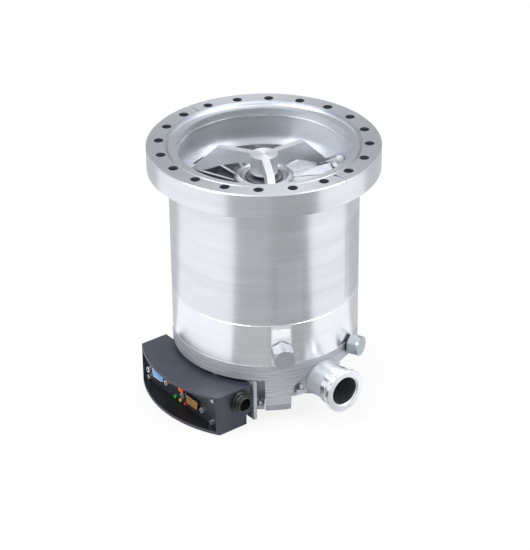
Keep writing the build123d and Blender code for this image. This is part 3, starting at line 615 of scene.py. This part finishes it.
# round nuts at the connectors' ends, each a ring between two circles
NUTS = ((-51.3, -218.3), (-23.5, -218.8), (1.4, -219.8), (30.4, -220.4))
nuts = mesh_piece("jackscrew_nuts", joined(*(
    frame_prism(circle(x, z, 2.7, 24), circle(x, z, 1.4, 24), PANEL_Y + 0.2, PANEL_Y - 1.7,
                PANEL_Y - 0.5) for x, z in NUTS)), NUT)
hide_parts("dsub_jackscrews")

# small socket: a rim between two rounded trapezoids, round a block with a raised tongue
SX, SZ = -1.3, -214.6
surround = mesh_piece("orange_surround", frame_prism(
    round_trapezoid(SX, SZ, 10.6, 9.0, 1.6, 1.2), round_trapezoid(SX, SZ, 7.6, 6.2, 0.2, 0.4),
    PANEL_Y + 0.2, PANEL_Y - 1.0, PANEL_Y - 0.4), BLACK)
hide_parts("orange_socket")
block = prism(rectangle(SX - 3.7, SX + 3.7, SZ - 3.0, SZ + 3.0), PANEL_Y + 0.2, PANEL_Y - 0.9)
tongue = prism(rectangle(SX - 2.2, SX + 2.4, SZ - 0.4, SZ + 2.2), PANEL_Y - 0.8, PANEL_Y - 2.0)
orange = mesh_piece("orange_block", joined(block, tongue), ORANGE)
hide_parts("orange_insert")
mesh_piece("reset_dot", prism(circle(-19.4, -217.0, 1.0), PANEL_Y + 0.2, PANEL_Y - 0.6), RED_LED)

# round power connector: foot, two steps, front ring and its open bore, turned about its own axis,
# and the core inside it; (radius, distance along X)
POWER_PROFILE = (
    (6.0, 53.0), (6.0, 58.6), (5.6, 58.6), (5.6, 65.9), (6.1, 66.5), (7.0, 66.5), (7.5, 66.1),
    (7.5, 64.7), (8.0, 64.4), (8.9, 64.1), (9.1, 62.6), (8.6, 62.2), (9.9, 61.9), (10.3, 61.4),
    (10.3, 58.0), (9.0, 58.0), (9.0, 53.0))
CORE_PROFILE = ((0.0, 57.5), (5.8, 57.5), (5.8, 59.2), (0.0, 59.2))
POWER_CENTRE = (0, -73.3, -205.2)
power = mesh_piece("power_connector_skin", lathe(POWER_PROFILE, 96, "X", POWER_CENTRE), BLACK, 24.0)
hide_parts("power_connector")
mesh_piece("power_connector_core", lathe(CORE_PROFILE, 48, "X", POWER_CENTRE), BLACK)

# ------------------------------------------------------------------ CAD nodes that hardly show
INNER_LOOKS = (
    (DEEP, ("drag_stator", "drag_rotor", *(f"spacer_ring_{n}" for n in range(1, 6)),
            *(f"stator_disc_{n}" for n in range(1, 5)),
            *(f"rotor_stage_{n}" for n in range(2, 6)))),
    (DARK_STEEL, ("magnet_bearing_stator", "magnet_bearing_rotor", "motor_stator", "motor_magnet")),
    (SCREW, ("rotor_shaft", "bearing_inner_ring", "bearing_outer_ring", "bearing_balls",
             "bearing_nut", "bearing_retainer")),
    (RUBBER, ("housing_seal", "base_seal", "cover_seal", "vent_seal", "purge_seal")),
    (COPPER, ("motor_windings",)),
    (CAGE_PLASTIC, ("bearing_cage",)),
    (BOARD, ("circuit_board",)),
)
for material, names in INNER_LOOKS:
    for node in names:
        slots = frame["nodes"][node].data.materials
        slots.clear()
        slots.append(material)

# ------------------------------------------------------------------ studio
CAMERA_AZIMUTH = -37.5


def stage_sheet(name, verts, faces, material):
    """Flat sheet of the studio, which isn't part of the pump."""
    data = bpy.data.meshes.new(name)
    data.from_pydata(verts, [], faces)
    data.materials.append(material)
    sheet = in_scene(name, data)
    return sheet


def floor_material():
    """Pale floor: the camera sees it nearly white, with the object's soft shadow left in."""
    mat, nodes, shader = new_material("pale_floor")
    shader.inputs["Base Color"].default_value = (0.80, 0.80, 0.80, 1)
    shader.inputs["Roughness"].default_value = 0.9
    shader.inputs["Specular IOR Level"].default_value = 0.1
    glow = nodes.add("ShaderNodeEmission")
    glow.inputs["Strength"].default_value = 1.0
    seen = nodes.add("ShaderNodeLightPath").outputs["Is Camera Ray"]
    mix = nodes.add("ShaderNodeMixShader")
    nodes.link(nodes.calculated("MULTIPLY", seen, 0.86), mix.inputs[0])
    nodes.link(shader.outputs[0], mix.inputs[1])
    nodes.link(glow.outputs[0], mix.inputs[2])
    nodes.link(mix.outputs[0], nodes.tree.nodes["Material Output"].inputs["Surface"])
    return mat


def glow_material(name, level):
    """Even grey or white glow."""
    mat, nodes, _ = new_material(name)
    glow = nodes.add("ShaderNodeEmission")
    glow.inputs["Color"].default_value = (level, level, level * 1.01, 1)
    glow.inputs["Strength"].default_value = 1.0
    nodes.link(glow.outputs[0], nodes.tree.nodes["Material Output"].inputs["Surface"])
    return mat


def studio_card(name, verts, faces, level):
    """Grey or white card that only the metal's reflections see."""
    card = stage_sheet(name, verts, faces, glow_material(name, level))
    card.visible_camera = False
    card.visible_diffuse = False
    card.visible_shadow = False
    card.visible_transmission = False


def floor_sector(name, start, end, level, inner=0.13, outer=2.4):
    """Card that lies on the floor between two azimuths, counted in degrees from the camera's."""
    turn = np.radians(np.linspace(CAMERA_AZIMUTH + start, CAMERA_AZIMUTH + end, 25))
    height = np.full_like(turn, FLOOR_Z + 0.0006)
    verts = np.concatenate([np.stack([r * np.cos(turn), r * np.sin(turn), height], 1)
                            for r in (inner, outer)])
    n = len(turn)
    faces = [(k, n + k, n + k + 1, k + 1) for k in range(n - 1)]
    studio_card(name, verts.tolist(), faces, level)


def upright_card(name, azimuth, distance, half_width, low, high, level):
    """Standing card that faces the pump from an azimuth."""
    a = math.radians(azimuth)
    out, side = np.array([math.cos(a), math.sin(a), 0]), np.array([-math.sin(a), math.cos(a), 0])
    left, right = out * distance - side * half_width, out * distance + side * half_width
    verts = [left + (0, 0, low), right + (0, 0, low), right + (0, 0, high), left + (0, 0, high)]
    studio_card(name, [v.tolist() for v in verts], [(0, 1, 2, 3)], level)


def studio_world():
    """Even soft light, which the camera and the reflections see as white."""
    world = bpy.data.worlds.new("studio")
    bpy.context.scene.world = world
    world.use_nodes = True
    nodes = Nodes(world.node_tree)
    path = nodes.add("ShaderNodeLightPath").outputs
    seen = nodes.calculated("MAXIMUM", path["Is Camera Ray"], path["Is Transmission Ray"])
    seen = nodes.calculated("MAXIMUM", seen, path["Is Glossy Ray"])
    background = nodes.tree.nodes["Background"]
    nodes.link(nodes.ranged(seen, 0.55, 1.0), background.inputs["Strength"])
    background.inputs["Color"].default_value = (1, 1, 1, 1)


def soft_lamp(name, azimuth, elevation, distance, size, power):
    """Square area lamp aimed at the pump's middle."""
    data = bpy.data.lights.new(name, "AREA")
    data.shape = "SQUARE"
    data.size = size
    data.energy = power
    lamp = in_scene(name, data)
    a, e = math.radians(CAMERA_AZIMUTH + azimuth), math.radians(elevation)
    target = Vector((0, 0, -0.12))
    toward = Vector((math.cos(e) * math.cos(a), math.cos(e) * math.sin(a), math.sin(e)))
    lamp.location = target + distance * toward
    lamp.rotation_euler = (-distance * toward).to_track_quat("-Z", "Y").to_euler()


def make_camera():
    """Long-lens camera at the viewing angle, with no shift and a slight roll."""
    target = Vector((0, 0, -0.1310))
    place = Vector((1.22854, -0.94278, 0.74237))
    roll = math.radians(-0.519)
    forward = (target - place).normalized()
    level = forward.cross(Vector((0, 0, 1))).normalized()
    upright = level.cross(forward)
    right = level * math.cos(roll) + upright * math.sin(roll)
    up = upright * math.cos(roll) - level * math.sin(roll)
    data = bpy.data.cameras.new("camera")
    data.sensor_width = 36.0
    data.lens = data.sensor_width / 0.275   # the view is 0.275 wide at a distance of 1
    data.clip_end = 50.0
    camera = in_scene("camera", data)
    turn = Matrix((right, up, -forward)).transposed().to_4x4()
    camera.matrix_world = Matrix.Translation(place) @ turn
    bpy.context.scene.camera = camera


stage_sheet("floor", [(-4, -4, FLOOR_Z), (4, -4, FLOOR_Z), (4, 4, FLOOR_Z), (-4, 4, FLOOR_Z)],
            [(0, 1, 2, 3)], floor_material())
for card in (("card_front_left", -33, 6, 0.50), ("card_front_right", 6, 49, 0.41),
             ("card_left", -115, -33, 1.06), ("card_right", 49, 105, 1.04),
             ("card_back", 105, 245, 0.62)):
    floor_sector(*card)
upright_card("card_far", CAMERA_AZIMUTH + 180, 2.2, 2.2, -0.2, 2.6, 0.60)
studio_world()
for lamp in (("key", -60, 50, 1.9, 1.1, 26), ("fill", 70, 40, 2.0, 1.2, 14),
             ("top", 150, 70, 2.0, 1.2, 16)):
    soft_lamp(*lamp)
make_camera()
bpy.context.scene.view_settings.view_transform = "Standard"
